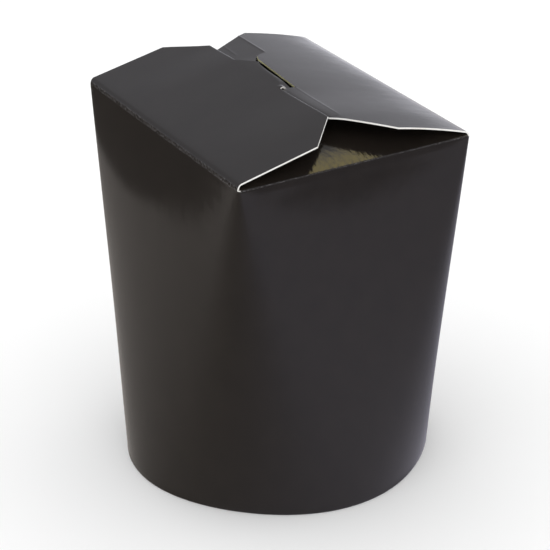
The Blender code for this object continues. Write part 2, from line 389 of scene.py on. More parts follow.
def slotted_face_height(x, y, on_strip):
    height = strip_height(x, y) if on_strip else slotted_height(x)
    return height + sum(score_rise(x, y, *score) for score in SCORES)


def strip_edge_x(y):
    """Where the slotted flap's panel ends and its strip begins: scores, hook and slot."""
    if y >= HOOK_END[1]:
        return BACK_SCORE_X
    if y <= SLOT_FRONT[1]:
        return along_line(y, (FRONT_SCORE_X, FRONT_SCORE_Y), SLOT_FRONT)
    for high, low in zip(SLOT_PATH, SLOT_PATH[1:]):
        if y >= low[1]:
            return along_line(y, low, high)


def on_slot_line(place, slack):
    """Whether a place is on the line that the slot and its hook are cut along."""
    between = SLOT_FRONT[1] < place.y < HOOK_END[1]
    return between and abs(place.x - strip_edge_x(place.y)) < slack


def gable_lift(place):
    """The gable's front end stands a little high, and the tabbed flap's back end a little low."""
    from_hinge = min((RIM_HALF_X - abs(place.x)) / (RIM_HALF_X + RIDGE_X), 1.0)
    lift = FRONT_LIFT * eased(-place.y, *FRONT_LIFT_RUN)
    if place.x < RIDGE_X + FREE_EDGE_ROUND[0] + TINY and place.z > tabbed_height(place.x) - BOARD:
        lift -= BACK_DROP * eased(place.y, *BACK_DROP_RUN)
    return lift * max(from_hinge, 0.0)


def under_roof(x, y):
    """The lowest underside of the large flaps over a place."""
    top = tabbed_height(x) if x < RIDGE_X else slotted_height(x)
    if STRIP_END_X < x < BACK_SCORE_X:
        top = min(top, strip_height(x, y))
    return top - SLOPED_BOARD - BACK_DROP * eased(y, *TUCK_DROP_RUN)


# Wall and foot

def base_radius(angle):
    return BASE_RADIUS * (1.0 + BASE_LOBE * cos(4 * angle))


def foot_angle(rim_place):
    """The angle on the foot below a place on the rim: sides and corners each fan out."""
    across = min(max(rim_place.x, RIM_CORNER - RIM_HALF_X), RIM_HALF_X - RIM_CORNER)
    along = min(max(rim_place.y, RIM_CORNER - RIM_HALF_Y), RIM_HALF_Y - RIM_CORNER)
    facing = atan2(rim_place.y - along, rim_place.x - across)
    if abs(rim_place.y - along) < TINY:
        lean = SIDE_FAN * along / (RIM_HALF_Y - RIM_CORNER)
        return facing + lean * (1.0 if rim_place.x > 0 else -1.0)
    if abs(rim_place.x - across) < TINY:
        lean = SIDE_FAN * across / (RIM_HALF_X - RIM_CORNER)
        return facing - lean * (1.0 if rim_place.y > 0 else -1.0)
    quarter = floor(facing / (pi / 2)) * pi / 2
    return quarter + SIDE_FAN + (facing - quarter) * (1.0 - 2 * SIDE_FAN / (pi / 2))


def half_turns(angle):
    whole = floor(angle / pi)
    return whole, angle - whole * pi


def sine_sum(angle):
    whole, rest = half_turns(angle)
    return 2 * whole + 1.0 - cos(rest)


def sine_sum_twice(angle):
    whole, rest = half_turns(angle)
    return whole ** 2 * pi + (2 * whole + 1) * rest - sin(rest)


def soft_side(angle, blur):
    """Reach of a straight side towards an angle, and its slope, with the side bowed by a blur."""
    reach = sine_sum_twice(angle + blur) - 2 * sine_sum_twice(angle) + sine_sum_twice(angle - blur)
    slope = sine_sum(angle + blur) - 2 * sine_sum(angle) + sine_sum(angle - blur)
    return reach / blur ** 2, slope / blur ** 2


def wall_section(share):
    """Angles and places round the wall at a share of its height: the sides bow between foot and rim."""
    long_blur = max(LONG_SIDE_BOW * (1.0 - share), LEAST_BOW)
    short_blur = max(SHORT_SIDE_BOW * (1.0 - share), LEAST_BOW)
    half_x = RIM_HALF_X - RIM_CORNER
    half_y = RIM_HALF_Y - RIM_CORNER
    places = []
    for step in range(SECTION_STEPS):
        facing = (step + 0.5) / SECTION_STEPS * 2 * pi - pi
        reach_x, slope_x = soft_side(facing + pi / 2, short_blur)
        reach_y, slope_y = soft_side(facing, long_blur)
        reach = (1.0 - share) * base_radius(facing)
        reach += share * (RIM_CORNER + half_x * reach_x + half_y * reach_y)
        slope = -(1.0 - share) * BASE_RADIUS * BASE_LOBE * 4 * sin(4 * facing)
        slope += share * (half_x * slope_x + half_y * slope_y)
        x = reach * cos(facing) - slope * sin(facing)
        y = reach * sin(facing) + slope * cos(facing)
        places.append((atan2(y, x), x, y))
    places.sort()
    return places


def wall_radius(places, angle):
    """Where a ray from the axis crosses the section."""
    index = bisect_right(places, (angle, 0.0, 0.0))
    _, x0, y0 = places[index - 1]
    _, x1, y1 = places[index % len(places)]
    run_x = x1 - x0
    run_y = y1 - y0
    return (x0 * run_y - y0 * run_x) / (cos(angle) * run_y - sin(angle) * run_x)


def place_ring(place_of):
    """Move each selected vertex to the place worked out from where it is."""
    bm = edited()
    for vertex in bm.verts:
        if vertex.select:
            vertex.co = place_of(vertex.co)
    bmesh.update_edit_mesh(bpy.context.edit_object.data)


def turn_ring(height, radius_of):
    """Extrude the open ring and set it at a height and a radius."""
    extrude((0.0, 0.0, 0.0))

    def place(old):
        angle = atan2(old.y, old.x)
        return Vector((radius_of(angle) * cos(angle), radius_of(angle) * sin(angle), height))

    place_ring(place)


def draw_rim():
    bpy.ops.mesh.primitive_plane_add(size=1.0, location=(0.0, 0.0, 0.0))
    obj = bpy.context.active_object
    open_piece(obj)
    bpy.ops.mesh.select_all(action='SELECT')
    bpy.ops.transform.resize(value=(2 * RIM_HALF_X, 2 * RIM_HALF_Y, 1.0))
    bpy.ops.transform.translate(value=(0.0, 0.0, RIM_Z))
    bpy.ops.mesh.bevel(offset=RIM_CORNER, segments=CORNER_STEPS, profile=0.5, affect='VERTICES')
    bpy.ops.mesh.select_all(action='SELECT')
    bpy.ops.mesh.delete(type='ONLY_FACE')
    pick('EDGE', lambda m: near(abs(m.x), RIM_HALF_X) and near(m.y, 0.0))
    bpy.ops.mesh.subdivide(number_cuts=ceil(2 * RIM_HALF_Y / RIM_GRID) - 1)
    pick('EDGE', lambda m: near(abs(m.y), RIM_HALF_Y) and near(m.x, 0.0))
    bpy.ops.mesh.subdivide(number_cuts=ceil(2 * RIM_HALF_X / RIM_GRID) - 1)
    return obj


def drop_wall():
    pick('EDGE', lambda m: True)
    extrude((0.0, 0.0, FOOT_ROUND - RIM_Z))

    def to_foot(old):
        angle = foot_angle(old)
        return Vector((base_radius(angle) * cos(angle), base_radius(angle) * sin(angle), FOOT_ROUND))

    place_ring(to_foot)
    rings = ceil(RIM_Z / RING_GRID)
    for height in [RIM_Z * ring / rings for ring in range(1, rings)] + [RIM_Z - RIM_CORNER]:
        pick('FACE', lambda m: m.z < RIM_Z)
        cut((0.0, 0.0, height), (0.0, 0.0, 1.0))
    bow_wall()


def bow_wall():
    """Set each ring of the wall on the soft section at its height."""
    bm = edited()
    sections = {}
    for vertex in bm.verts:
        if vertex.co.z < RIM_Z - TINY:
            height = round(vertex.co.z / MM, 3)
            if height not in sections:
                sections[height] = wall_section(vertex.co.z / RIM_Z)
            angle = atan2(vertex.co.y, vertex.co.x)
            radius = wall_radius(sections[height], angle)
            vertex.co.x = radius * cos(angle)
            vertex.co.y = radius * sin(angle)
    bmesh.update_edit_mesh(bpy.context.edit_object.data)


def fold_foot():
    """Turn the board in under the foot and up inside it as a skirt."""
    pick('EDGE', lambda m: near(m.z, FOOT_ROUND))
    for step in range(1, FOOT_STEPS + 1):
        turn = step / FOOT_STEPS * pi / 2
        inset = FOOT_ROUND * (1.0 - cos(turn))
        turn_ring(FOOT_ROUND * (1.0 - sin(turn)), lambda angle: base_radius(angle) - inset)
    for step in range(FOOT_STEPS + 1):
        turn = step / FOOT_STEPS * pi / 2
        inset = FOOT_ROUND * (1.0 - sin(turn))
        turn_ring(FOOT_ROUND * (1.0 - cos(turn)), lambda angle: SKIRT_RADIUS + inset)
    for step in range(1, SKIRT_STEPS + 1):
        turn_ring(FOOT_ROUND + (SKIRT_TOP - FOOT_ROUND) * step / SKIRT_STEPS, lambda angle: SKIRT_RADIUS)


# Flaps

def grid_places(start, end, pitch):
    steps = ceil(abs(end - start) / pitch)
    return [start + (end - start) * step / steps for step in range(1, steps + 1)]


def extrude_large_flap(hinge_x, end_x, height_of):
    """Extrude a hinge line over its fold and on to the flap's far edge."""
    inward = 1.0 if hinge_x < 0 else -1.0
    turns = [step / FOLD_STEPS * pi / 2 for step in range(1, FOLD_STEPS + 1)]
    places = [hinge_x + inward * FOLD_REACH * (1.0 - cos(turn)) for turn in turns]
    places += grid_places(places[-1], RIDGE_X, SHEET_GRID)
    if not near(end_x, RIDGE_X):
        places += grid_places(RIDGE_X, end_x, SHEET_GRID)
    pick('EDGE', lambda m: near(m.x, hinge_x) and near(m.z, RIM_Z))
    last = hinge_x
    for x in places:
        extrude((x - last, 0.0, height_of(x) - height_of(last)))
        last = x


def extrude_small_flap(side):
    """Extrude the rim's short side over its fold and in under the large flaps."""
    lowered = SMALL_FOLD_RADIUS * tan((pi / 2 - SMALL_FLAP_SLOPE) / 2)
    pick('EDGE', lambda m: near(m.y, side * RIM_HALF_Y) and near(m.z, RIM_Z))
    bpy.ops.transform.translate(value=(0.0, 0.0, -lowered))
    last = Vector((0.0, side * RIM_HALF_Y, RIM_Z - lowered))
    start = last.copy()
    for step in range(1, FOLD_STEPS + 1):
        turn = step / FOLD_STEPS * (pi / 2 - SMALL_FLAP_SLOPE)
        inward = SMALL_FOLD_RADIUS * (1.0 - cos(turn))
        place = start + Vector((0.0, -side * inward, SMALL_FOLD_RADIUS * sin(turn)))
        extrude(place - last)
        last = place
    for y in grid_places(last.y, side * SMALL_FLAP_END_Y, SMALL_FLAP_GRID):
        run = RIM_HALF_Y - abs(y + last.y) / 2
        slope = SMALL_FLAP_SLOPE - SMALL_FLAP_EASING * min(run / SMALL_FLAP_EASING_RUN, 1.0)
        rise = abs(y - last.y) * tan(slope)
        extrude((0.0, y - last.y, rise))
        last = Vector((0.0, y, last.z + rise))


def bend(height_of):
    """Set the heights of what lies over the rim and isn't hidden."""
    bm = edited()
    for vertex in bm.verts:
        if not vertex.hide and over_rim(vertex.co):
            vertex.co.z = height_of(vertex)
    bmesh.update_edit_mesh(bpy.context.edit_object.data)


def cut_score(low, high):
    """Slice close lines along a score, for its bead."""
    for side in SCORE_CUTS:
        pick('FACE', lambda m: over_rim(m) and low[1] < m.y < high[1])
        cut((low[0] + side * SCORE_WIDTH, low[1], 0.0), (high[1] - low[1], low[0] - high[0], 0.0))


def on_strip(vertex):
    """Whether the faces round a vertex are the strip's."""
    middles = [middle(face) for face in vertex.link_faces]
    return sum(m.x - strip_edge_x(m.y) for m in middles) < 0.0


def draw_back_strip():
    """Draw the strip back to open the slot, and set its own slant at its back end."""
    bm = edited()
    for vertex in bm.verts:
        in_slot = SLOT_FRONT[1] + TINY < vertex.co.y < HOOK_END[1] - TINY
        if over_rim(vertex.co) and in_slot and on_strip(vertex):
            narrowing = eased(vertex.co.y, SLOT_NARROWING_Y, SLOT_BACK[1])
            width = SLOT_WIDTH + (SLOT_END_WIDTH - SLOT_WIDTH) * narrowing
            strip_width = strip_edge_x(vertex.co.y) - STRIP_END_X
            from_end = (vertex.co.x - STRIP_END_X) / strip_width
            vertex.co.x -= width * from_end
            vertex.co.y -= SLOT_END_SHIFT * width * narrowing * from_end
        elif over_rim(vertex.co) and vertex.co.y > HOOK_END[1] and vertex.co.x < BACK_SCORE_X - TINY:
            inward = BACK_SCORE_X - vertex.co.x
            edge_y = SLOTTED_BACK_Y - BACK_CHAMFER * (SLOTTED_BACK_X - vertex.co.x)
            share = min((vertex.co.y - HOOK_END[1]) / (edge_y - HOOK_END[1]), 1.0)
            vertex.co.y += (BACK_CHAMFER - STRIP_CHAMFER) * inward * share
    bmesh.update_edit_mesh(bpy.context.edit_object.data)


def shape_slotted_flap():
    extrude_large_flap(RIM_HALF_X, STRIP_END_X, slotted_height)
    pick('FACE', over_rim)
    cut((0.0, SLOTTED_BACK_Y, 0.0), (0.0, 1.0, 0.0), away=True)
    pick('FACE', over_rim)
    cut((SLOTTED_FRONT_X, -FLAP_HALF_Y, 0.0), (-FRONT_CHAMFER, -1.0, 0.0), away=True)
    pick('FACE', over_rim)
    cut((SLOTTED_BACK_X, SLOTTED_BACK_Y, 0.0), (-BACK_CHAMFER, 1.0, 0.0), away=True)
    for y in [y for _, y in SLOT_PATH] + [y for _, y in SHORT_SCORE] + [TAB_FRONT_Y]:
        pick('FACE', over_rim)
        cut((0.0, y, 0.0), (0.0, 1.0, 0.0))
    for high, low in zip(SLOT_PATH, SLOT_PATH[1:]):
        pick('FACE', lambda m: over_rim(m) and low[1] < m.y < high[1])
        cut((low[0], low[1], 0.0), (high[1] - low[1], low[0] - high[0], 0.0))
    for low, high in SCORES:
        cut_score(low, high)
    pick('EDGE', lambda m: over_rim(m) and on_slot_line(m, SLOT_LINE_SLACK))
    bpy.ops.mesh.edge_split(type='EDGE')
    draw_back_strip()
    bend(lambda v: slotted_face_height(v.co.x, v.co.y, on_strip(v)))


def shape_small_flap(side):
    extrude_small_flap(side)
    bend(lambda v: min(v.co.z, under_roof(v.co.x, v.co.y) - TUCK_GAP))


def on_tab(place):
    return over_rim(place) and place.x > RIDGE_X + TINY


def extrude_tab():
    """Extrude the ridge on past its middle, slant the tab's back and turn its tip down."""
    pick('EDGE', lambda m: near(m.x, RIDGE_X) and over_rim(m) and TAB_FRONT_Y < m.y < TAB_BACK_Y)
    last = RIDGE_X
    for x in grid_places(RIDGE_X, TAB_TIP_X, TAB_GRID):
        extrude((x - last, 0.0, 0.0))
        last = x
    pick('FACE', on_tab)
    cut((RIDGE_X, TAB_BACK_Y, 0.0),
        (TAB_BACK_Y - TAB_BACK_CORNER[1], TAB_BACK_CORNER[0] - RIDGE_X, 0.0), away=True)
    bend(lambda v: tab_height(v.co.x, v.co.y) if v.co.x > RIDGE_X + TINY else v.co.z)
    pick('EDGE', lambda m: on_tab(m) and near(m.x, TAB_TIP_X))
    for run, drop in TAB_TURN:
        extrude((run, 0.0, -drop))


def curve_tabbed_outline():
    """Hollow the tab's tip, and draw the flap's back corner out."""
    bm = edited()
    for vertex in bm.verts:
        if not vertex.hide and over_rim(vertex.co):
            along = (vertex.co.y - TAB_FRONT_Y) / (TAB_BACK_CORNER[1] - TAB_FRONT_Y)
            along = min(max(along, 0.0), 1.0)
            hollow = sin(pi * along) - TAB_BACK_SWELL * along
            past_ridge = max((vertex.co.x - RIDGE_X) / (TAB_TIP_X - RIDGE_X), 0.0)
            from_hinge = min((RIM_HALF_X + vertex.co.x) / (RIM_HALF_X + RIDGE_X), 1.0)
            reach = TABBED_BACK_REACH * from_hinge * eased(vertex.co.y, TABBED_BACK_REACH_Y, FLAP_HALF_Y)
            vertex.co.x -= TAB_HOLLOW * hollow * past_ridge
            vertex.co.y += reach
    bmesh.update_edit_mesh(bpy.context.edit_object.data)


def shape_tabbed_flap():
    extrude_large_flap(-RIM_HALF_X, RIDGE_X, tabbed_height)
    shoulder = RIDGE_X - TABBED_SHOULDER_X
    for side, corner_y in ((-1.0, TABBED_CORNER_Y), (1.0, TABBED_BACK_CORNER_Y)):
        pick('FACE', over_rim)
        cut((RIDGE_X, side * corner_y, 0.0), (FLAP_HALF_Y - corner_y, side * shoulder, 0.0), away=True)
    for y in [TAB_FRONT_Y] + grid_places(TAB_FRONT_Y, TAB_BACK_Y, TAB_SLICE):
        pick('FACE', over_rim)
        cut((0.0, y, 0.0), (0.0, 1.0, 0.0))
    pick('FACE', lambda m: over_rim(m) and m.x > TABBED_SHOULDER_X)
    cut((RIDGE_X - FREE_EDGE_ROUND[0], 0.0, 0.0), (1.0, 0.0, 0.0))
    pick('EDGE', lambda m: near(m.x, RIDGE_X) and over_rim(m) and not TAB_FRONT_Y < m.y < TAB_BACK_Y)
    extrude((FREE_EDGE_ROUND[0], 0.0, FREE_EDGE_ROUND[1]))
    pick('FACE', lambda m: m.x > RIDGE_X)
    bpy.ops.mesh.hide(unselected=False)
    extrude_tab()
    curve_tabbed_outline()


def lift_gable():
    bm = edited()
    for vertex in bm.verts:
        if over_rim(vertex.co) and not is_small_flap(vertex.co):
            vertex.co.z += gable_lift(vertex.co)
    bmesh.update_edit_mesh(bpy.context.edit_object.data)


# Materials

def start_material(name):
    material = bpy.data.materials.new(name)
    material.use_nodes = True
    return material, material.node_tree, material.node_tree.nodes["Principled BSDF"]


def add_node(tree, kind, inputs=(), **settings):
    node = tree.nodes.new(kind)
    for name, value in settings.items():
        setattr(node, name, value)
    for index, value in enumerate(inputs):
        if value is None:
            continue
        if isinstance(value, bpy.types.NodeSocket):
            tree.links.new(value, node.inputs[index])
        else:
            node.inputs[index].default_value = value
    return node


def math_node(tree, operation, *values):
    return add_node(tree, 'ShaderNodeMath', values, operation=operation).outputs[0]


def dot_node(tree, vector, direction):
    node = add_node(tree, 'ShaderNodeVectorMath', (vector, direction), operation='DOT_PRODUCT')
    return node.outputs['Value']


def ramp_node(tree, value, start, end, low, high):
    """Value carried smoothly from start..end to low..high."""
    node = add_node(tree, 'ShaderNodeMapRange', (value, start, end, low, high),
                    interpolation_type='SMOOTHSTEP')
    return node.outputs[0]


def tinted(tree, mask, low, high):
    node = add_node(tree, 'ShaderNodeMix', data_type='RGBA')
    tree.links.new(mask, node.inputs[0])
    node.inputs[6].default_value = (*low, 1.0)
    node.inputs[7].default_value = (*high, 1.0)
    return node.outputs[2]


def ramp_line(tree, value, start, end):
    """Value carried evenly from start..end to 0..1 and held there."""
    return add_node(tree, 'ShaderNodeMapRange', (value, start, end, 0.0, 1.0)).outputs[0]


def socket(group, name, kind, side='INPUT', value=None):
    made = group.interface.new_socket(name=name, in_out=side, socket_type=kind)
    if value is not None:
        made.default_value = value


def scaled_noise(tree, vector, scale, detail, rough=0.55):
    """Noise on the board's own map, with one size across the grain and another along it."""
    place = add_node(tree, 'ShaderNodeMapping', (vector, None, None, (*scale, 1.0))).outputs[0]
    noise = add_node(tree, 'ShaderNodeTexNoise')
    tree.links.new(place, noise.inputs['Vector'])
    noise.inputs['Scale'].default_value = 1.0
    noise.inputs['Detail'].default_value = detail
    noise.inputs['Roughness'].default_value = rough
    return noise.outputs['Fac']


def build_board_grain():
    """Streaks along the board's grain, soft mottle and slow waves, on a map in metres."""
    group = bpy.data.node_groups.new("board_grain", 'ShaderNodeTree')
    socket(group, "Map", 'NodeSocketVector')
    socket(group, "Strain", 'NodeSocketFloat', value=0.0)
    for name in ("Streak", "Mottle", "Height", "Crack"):
        socket(group, name, 'NodeSocketFloat', side='OUTPUT')
    inputs = group.nodes.new('NodeGroupInput')
    outputs = group.nodes.new('NodeGroupOutput')
    board_map = inputs.outputs["Map"]
    streak = scaled_noise(group, board_map, STREAK_NOISE, detail=3.0)
    broad_streak = scaled_noise(group, board_map, BROAD_STREAK_NOISE, detail=2.0)
    mottle = scaled_noise(group, board_map, MOTTLE_NOISE, detail=4.0)
    wave = scaled_noise(group, board_map, WAVE_NOISE, detail=1.0)
    fibre = scaled_noise(group, board_map, FIBRE_NOISE, detail=2.0)
    wrinkle = scaled_noise(group, board_map, WRINKLE_NOISE, detail=2.0)
    crack = scaled_noise(group, board_map, CRACK_NOISE, detail=2.0)
    height = math_node(group, 'MULTIPLY', streak, STREAK_RELIEF)
    for pattern, relief in ((broad_streak, BROAD_STREAK_RELIEF), (fibre, FIBRE_RELIEF),
                            (wave, WAVE_RELIEF), (mottle, MOTTLE_RELIEF)):
        height = math_node(group, 'MULTIPLY_ADD', pattern, relief, height)
    strained = math_node(group, 'MULTIPLY', inputs.outputs["Strain"], WRINKLE_RELIEF)
    height = math_node(group, 'MULTIPLY_ADD', wrinkle, strained, height)
    group.links.new(streak, outputs.inputs["Streak"])
    group.links.new(mottle, outputs.inputs["Mottle"])
    group.links.new(height, outputs.inputs["Height"])
    group.links.new(ramp_node(group, crack, *CRACK_SPREAD, 0.0, 1.0), outputs.inputs["Crack"])
    return group


def board_surface(tree, grain, board_map):
    """The grain group on a map, with how strained the board is."""
    node = tree.nodes.new('ShaderNodeGroup')
    node.node_tree = grain
    tree.links.new(board_map, node.inputs["Map"])
    strain = add_node(tree, 'ShaderNodeAttribute', attribute_name="strain").outputs['Fac']
    tree.links.new(strain, node.inputs["Strain"])
    return node, strain


def grain_map_node(tree):
    return add_node(tree, 'ShaderNodeUVMap', uv_map="grain").outputs[0]


def add_relief(tree, shader, height):
    bump = add_node(tree, 'ShaderNodeBump')
    bump.inputs['Strength'].default_value = 1.0
    bump.inputs['Distance'].default_value = 1.0 * MM
    tree.links.new(height, bump.inputs['Height'])
    tree.links.new(bump.outputs[0], shader.inputs['Normal'])


def make_black_coating(grain):
    """Black coating, with bare fibre where a fold has cracked it."""
    material, tree, shader = start_material("black_coated_board")
    shader.inputs["IOR"].default_value = COATING_IOR
    surface, strain = board_surface(tree, grain, grain_map_node(tree))
    crease = add_node(tree, 'ShaderNodeAttribute', attribute_name="crease").outputs['Fac']
    cracked = ramp_node(tree, crease, *CRACKED_CREASE, 0.0, 1.0)
    crack = math_node(tree, 'MULTIPLY', surface.outputs["Crack"], cracked)
    colour = add_node(tree, 'ShaderNodeMix', data_type='RGBA')
    tree.links.new(crack, colour.inputs[0])
    tree.links.new(tinted(tree, surface.outputs["Mottle"], INK, PALE_INK), colour.inputs[6])
    colour.inputs[7].default_value = (*BARE_FIBRE, 1.0)
    tree.links.new(colour.outputs[2], shader.inputs["Base Color"])
    rough = ramp_node(tree, surface.outputs["Streak"], *NOISE_SPREAD, *COATING_ROUGHNESS)
    rough = math_node(tree, 'MULTIPLY_ADD', crack, CRACK_ROUGHNESS, rough)
    rough = math_node(tree, 'MULTIPLY_ADD', surface.outputs["Mottle"], MOTTLE_ROUGHNESS, rough)
    rough = math_node(tree, 'MULTIPLY_ADD', strain, STRAIN_ROUGHNESS, rough)
    tree.links.new(rough, shader.inputs["Roughness"])
    add_relief(tree, shader, surface.outputs["Height"])
    return material


def make_board_inside(grain):
    """The uncoated side: matt brown-black board with pale fibres in it."""
    material, tree, shader = start_material("board_inside")
    surface, _ = board_surface(tree, grain, grain_map_node(tree))
    fibres = ramp_node(tree, surface.outputs["Streak"], *FIBRE_SPREAD, 0.0, 1.0)
    tree.links.new(tinted(tree, fibres, INSIDE_BOARD, INSIDE_FIBRE), shader.inputs["Base Color"])
    rough = ramp_node(tree, surface.outputs["Mottle"], *NOISE_SPREAD, *INSIDE_ROUGHNESS)
    tree.links.new(rough, shader.inputs["Roughness"])
    add_relief(tree, shader, surface.outputs["Height"])
    return material


def make_cut_edge(grain, name, pale, dull):
    """Cut board: layered fibres, dulled where it has been handled."""
    material, tree, shader = start_material(name)
    surface, _ = board_surface(tree, grain, grain_map_node(tree))
    worn = ramp_node(tree, surface.outputs["Mottle"], *WORN_SPREAD, 0.0, 1.0)
    worn = math_node(tree, 'MULTIPLY', worn, WORN_EDGE_SHARE)
    worn = math_node(tree, 'MULTIPLY_ADD', surface.outputs["Crack"], CRACKED_EDGE_SHARE, worn)
    tree.links.new(tinted(tree, worn, pale, dull), shader.inputs["Base Color"])
    rough = ramp_node(tree, surface.outputs["Streak"], *NOISE_SPREAD, *EDGE_ROUGHNESS)
    tree.links.new(rough, shader.inputs["Roughness"])
    add_relief(tree, shader, surface.outputs["Height"])
    return material


def make_base_board(grain):
    """The disc's coated board, scuffed dull here and there."""
    material, tree, shader = start_material("black_base_board")
    place = add_node(tree, 'ShaderNodeTexCoord').outputs['Object']
    surface, _ = board_surface(tree, grain, place)
    scuff = ramp_node(tree, surface.outputs["Mottle"], *SCUFF_SPREAD, 0.0, 1.0)
    tree.links.new(tinted(tree, scuff, BASE_INK, SCUFFED_INK), shader.inputs["Base Color"])
    rough = ramp_node(tree, surface.outputs["Streak"], *NOISE_SPREAD, *BASE_ROUGHNESS)
    rough = math_node(tree, 'MULTIPLY_ADD', scuff, SCUFF_ROUGHNESS, rough)
    tree.links.new(rough, shader.inputs["Roughness"])
    add_relief(tree, shader, surface.outputs["Height"])
    return material


# Pieces

def crease_distance(place):
    """Distance from the nearest fold of the rim."""
    over_x = abs(abs(place.x) - RIM_HALF_X)
    over_y = abs(abs(place.y) - RIM_HALF_Y)
    beside = min(over_x if abs(place.y) < RIM_HALF_Y + TINY else FAR,
                 over_y if abs(place.x) < RIM_HALF_X + TINY else FAR)
    return hypot(beside, max(RIM_Z - place.z, 0.0))


def score_distance(place):
    if not over_rim(place):
        return FAR
    near_scores = [abs(place.x - along_line(place.y, *score)) for score in SCORES
                   if score[0][1] <= place.y <= score[1][1]]
    return min(near_scores, default=FAR)


def is_small_flap(place):
    within = abs(place.y) > SMALL_FLAP_END_Y - SMALL_FLAP_END_SLACK
    return within and place.z < under_roof(place.x, place.y) - TUCK_GAP / 2


def is_tucked(place):
    return over_rim(place) and is_small_flap(place)


def wall_map_place(place, centre):
    """A place on the wall's own map, kept whole over the seam at the back."""
    around = atan2(place.x, -place.y)
    if around * atan2(centre.x, -centre.y) < 0 and abs(around) > pi / 2:
        around += 2 * pi if around < 0 else -2 * pi
    return around * BASE_RADIUS, place.z


def lay_board_map(mesh):
    """Lay the board's own map: across the grain, then along it."""
    grain_map = mesh.uv_layers.new(name="grain")
    for face in mesh.polygons:
        centre = face.center
        on_wall = centre.z < RIM_Z - TINY
        tucked = not on_wall and is_small_flap(centre)
        for loop in face.loop_indices:
            place = mesh.vertices[mesh.loops[loop].vertex_index].co
            if on_wall:
                uv = wall_map_place(place, centre)
            elif tucked:
                uv = (place.x + SMALL_FLAP_MAP_X, RIM_Z + RIM_HALF_Y - abs(place.y))
            else:
                uv = (place.y + LARGE_FLAP_MAP_X, RIM_Z + RIM_HALF_X - abs(place.x))
            grain_map.data[loop].uv = uv


def mark_board(mesh):
    """Mark how creased and how strained the board is at each vertex."""
    crease = mesh.attributes.new("crease", 'FLOAT', 'POINT')
    strain = mesh.attributes.new("strain", 'FLOAT', 'POINT')
    for index, vertex in enumerate(mesh.vertices):
        distance = crease_distance(vertex.co)
        at_fold = 1.0 - distance / CREASE_REACH
        at_score = SCORE_CREASE - score_distance(vertex.co) / SCORE_CREASE_REACH
        crease.data[index].value = max(at_fold, at_score, 0.0)
        if is_tucked(vertex.co):
            strain.data[index].value = max(1.0 - distance / SMALL_FLAP_STRAIN_REACH, 0.0)
        else:
            strain.data[index].value = FOLD_STRAIN * max(1.0 - distance / FOLD_STRAIN_REACH, 0.0)


def yellow_slot(mesh):
    """The cut edge of the slot's far side has yellowed."""
    for face in mesh.polygons:
        if face.material_index == CUT_EDGE and on_slot_line(face.center, SLOT_EDGE_SLACK):
            face.material_index = SLOT_EDGE


def make_folded_board(grain):
    obj = draw_rim()
    obj.name = "folded_board"
    drop_wall()
    fold_foot()
    shape_slotted_flap()
    set_aside()
    for side in (-1.0, 1.0):
        shape_small_flap(side)
        set_aside()
    shape_tabbed_flap()
    bpy.ops.mesh.reveal()
    lift_gable()
    bpy.ops.mesh.select_all(action='SELECT')
    bpy.ops.mesh.normals_make_consistent(inside=False)
    close_piece()
    materials = (make_black_coating(grain), make_board_inside(grain),
                 make_cut_edge(grain, "white_cut_edge", WHITE_EDGE, DULL_WHITE_EDGE),
                 make_cut_edge(grain, "yellowed_slot_edge", YELLOWED_EDGE, DULL_YELLOWED_EDGE))
    for material in materials:
        obj.data.materials.append(material)
    board = obj.modifiers.new("Board", 'SOLIDIFY')
    board.thickness = BOARD
    board.offset = -1.0
    board.use_even_offset = False
    board.material_offset = INSIDE - COATING
    board.material_offset_rim = CUT_EDGE - COATING
    apply_modifiers(obj)
    lay_board_map(obj.data)
    mark_board(obj.data)
    yellow_slot(obj.data)
    bpy.ops.object.shade_smooth_by_angle(angle=SMOOTH_ANGLE)
    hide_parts("carton")
    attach(obj, "root")


def make_base_disc(grain):
    """A round of board with softened edges, its middle pressed up inside a flat band."""
    bpy.ops.mesh.primitive_cylinder_add(vertices=DISC_SIDES, radius=DISC_RADIUS,
                                        depth=DISC_HIGH.z - DISC_LOW.z, location=(0.0, 0.0, 0.0))
    obj = bpy.context.active_object
    obj.name = "base_disc_board"
    open_piece(obj)
    bpy.ops.mesh.select_all(action='SELECT')
    bpy.ops.transform.translate(value=(0.0, 0.0, (DISC_HIGH.z + DISC_LOW.z) / 2))
    for side, height in ((1.0, DISC_HIGH.z), (-1.0, DISC_LOW.z)):
        pick('FACE', lambda m: near(m.z, height) and hypot(m.x, m.y) < TINY)
        bpy.ops.mesh.inset(thickness=DISC_BAND, depth=0.0)
        bpy.ops.mesh.inset(thickness=DISC_STEP_RUN, depth=0.0)
        bpy.ops.transform.translate(value=(0.0, 0.0, -DISC_STEP if side > 0 else DISC_STEP))
        for ring in range(DISC_RINGS):
            bpy.ops.mesh.inset(thickness=DISC_RADIUS / (DISC_RINGS + 2), depth=0.0)

    def on_edge(m):
        at_face = near(m.z, DISC_HIGH.z) or near(m.z, DISC_LOW.z)
        return at_face and near(hypot(m.x, m.y), DISC_RADIUS * cos(pi / DISC_SIDES))

    pick('EDGE', on_edge)
    bpy.ops.mesh.bevel(offset=DISC_EDGE_ROUND, segments=3, affect='EDGES')
    bpy.ops.mesh.select_all(action='SELECT')
    bpy.ops.mesh.normals_make_consistent(inside=False)
    close_piece()
    obj.data.materials.append(make_base_board(grain))
    bpy.ops.object.shade_smooth_by_angle(angle=SMOOTH_ANGLE)
    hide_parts("base_disc")
    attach(obj, "root")


# Studio

